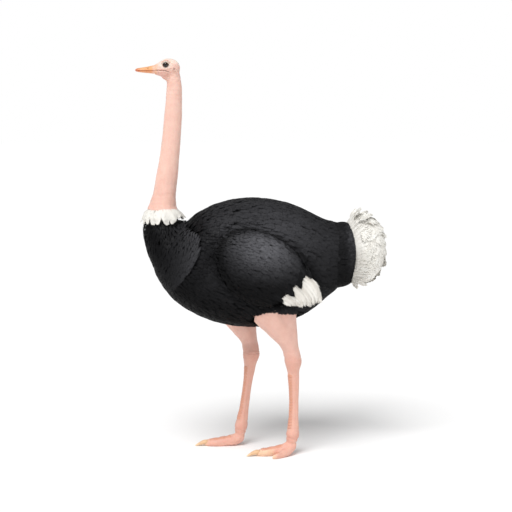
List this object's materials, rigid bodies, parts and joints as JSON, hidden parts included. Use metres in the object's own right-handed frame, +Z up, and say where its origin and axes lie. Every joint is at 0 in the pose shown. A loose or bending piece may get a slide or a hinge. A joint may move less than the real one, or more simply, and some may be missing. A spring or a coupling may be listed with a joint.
{
  "type": "adult male ostrich, life-size standing model",
  "caption": "Still, life-size male ostrich standing with one foot a step ahead: bare pink neck, head and legs, black body plumage, white collar, wing tips and tail.",
  "frame": {"origin": "on the floor, under the middle of the whole bird's box", "axes": "+Z up, -Y the way the bird faces, +X its left side"},
  "size_m": [0.6482, 1.4323, 2.2242],
  "materials": {
    "skin": "bare pink skin with fine folds and sparse pale down, soft sheen",
    "leg_skin": "scaled pink skin, horny scutes down the front of the lower leg and toes",
    "plumage_black": "loose matt black feathers with soft, free barbs",
    "plumage_white": "loose warm white plumes",
    "horn": "satin horn, redder towards the tip and edges",
    "claw": "satin horn, worn paler at the tip",
    "eye": "wet gloss, very dark brown"
  },
  "bodies": {
    "root": {"trunk": "plumage_black", "neck_base": "plumage_black", "collar": "plumage_white", "neck_lower": "skin", "neck_upper": "skin", "head": "skin", "bill_upper": "horn", "bill_lower": "horn", "eye_L": "eye", "eye_R": "eye", "wing_L": "plumage_black", "wing_R": "plumage_black", "tail": "plumage_white", "thigh_L": "leg_skin", "thigh_R": "leg_skin", "shank_L": "leg_skin", "shank_R": "leg_skin", "tarsus_L": "leg_skin", "tarsus_R": "leg_skin", "toe_inner_L": "leg_skin", "toe_inner_R": "leg_skin", "toe_outer_L": "leg_skin", "toe_outer_R": "leg_skin", "claw_L": "claw", "claw_R": "claw"}
  },
  "joints": []
}
